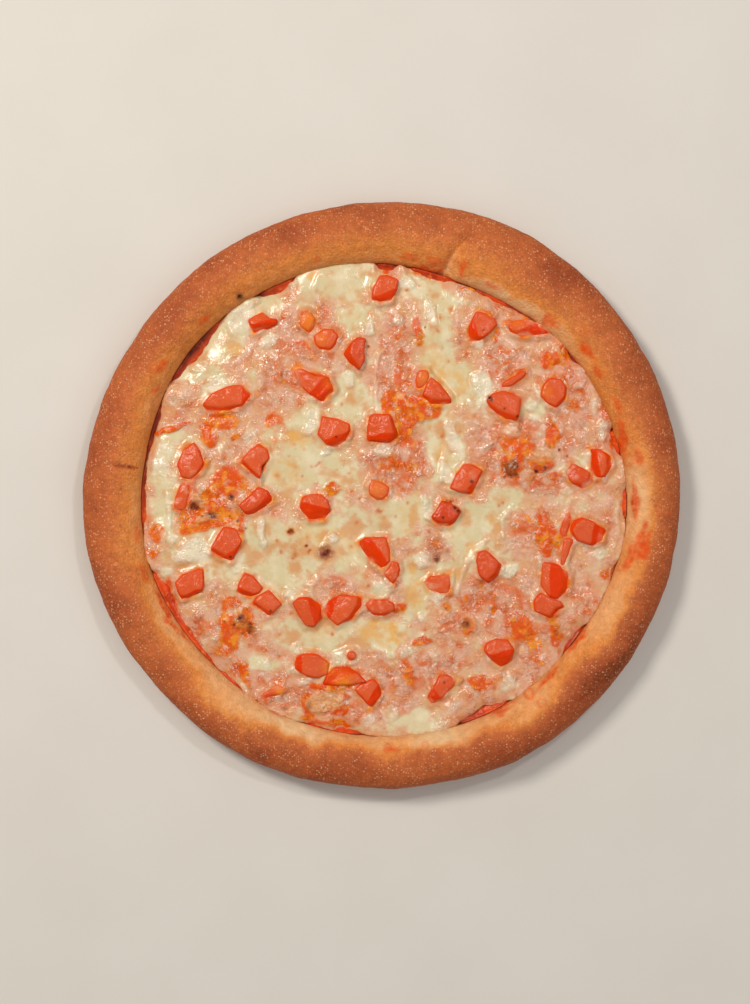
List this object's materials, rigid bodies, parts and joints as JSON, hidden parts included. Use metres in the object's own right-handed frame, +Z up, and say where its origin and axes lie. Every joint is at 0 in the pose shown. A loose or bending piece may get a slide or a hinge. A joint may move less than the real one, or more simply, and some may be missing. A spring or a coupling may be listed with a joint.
{
  "type": "margherita pizza",
  "caption": "Whole round pizza: thick browned crust, tomato sauce, melted mozzarella and diced tomato, ready to slice and eat.",
  "frame": {"origin": "middle of the underside, where the pizza rests", "axes": "+Z up out of the topping; +Y towards the joint side of the crust, +X to its right seen from above"},
  "size_m": [0.283, 0.2778, 0.0235],
  "materials": {
    "crust": "baked dough, browned orange-brown on top, paler inside the rim",
    "sauce": "wet tomato sauce",
    "cheese": "melted mozzarella, glossy cream with orange and browned patches",
    "tomato": "wet diced tomato, salmon red cut faces and redder skin"
  },
  "bodies": {
    "root": {"crust": "crust", "sauce": "sauce", "cheese": "cheese", "tomato_01": "tomato", "tomato_02": "tomato", "tomato_03": "tomato", "tomato_04": "tomato", "tomato_05": "tomato", "tomato_06": "tomato", "tomato_07": "tomato", "tomato_08": "tomato", "tomato_09": "tomato", "tomato_10": "tomato", "tomato_11": "tomato", "tomato_12": "tomato", "tomato_13": "tomato", "tomato_14": "tomato", "tomato_15": "tomato", "tomato_16": "tomato", "tomato_17": "tomato", "tomato_18": "tomato", "tomato_19": "tomato", "tomato_20": "tomato", "tomato_21": "tomato", "tomato_22": "tomato", "tomato_23": "tomato", "tomato_24": "tomato", "tomato_25": "tomato", "tomato_26": "tomato", "tomato_27": "tomato", "tomato_28": "tomato", "tomato_29": "tomato", "tomato_30": "tomato", "tomato_31": "tomato", "tomato_32": "tomato", "tomato_33": "tomato", "tomato_34": "tomato", "tomato_35": "tomato", "tomato_36": "tomato", "tomato_37": "tomato", "tomato_38": "tomato", "tomato_39": "tomato", "tomato_40": "tomato", "tomato_41": "tomato", "tomato_42": "tomato", "tomato_43": "tomato", "tomato_44": "tomato", "tomato_45": "tomato", "tomato_46": "tomato", "tomato_47": "tomato", "tomato_48": "tomato", "tomato_49": "tomato"}
  },
  "joints": []
}
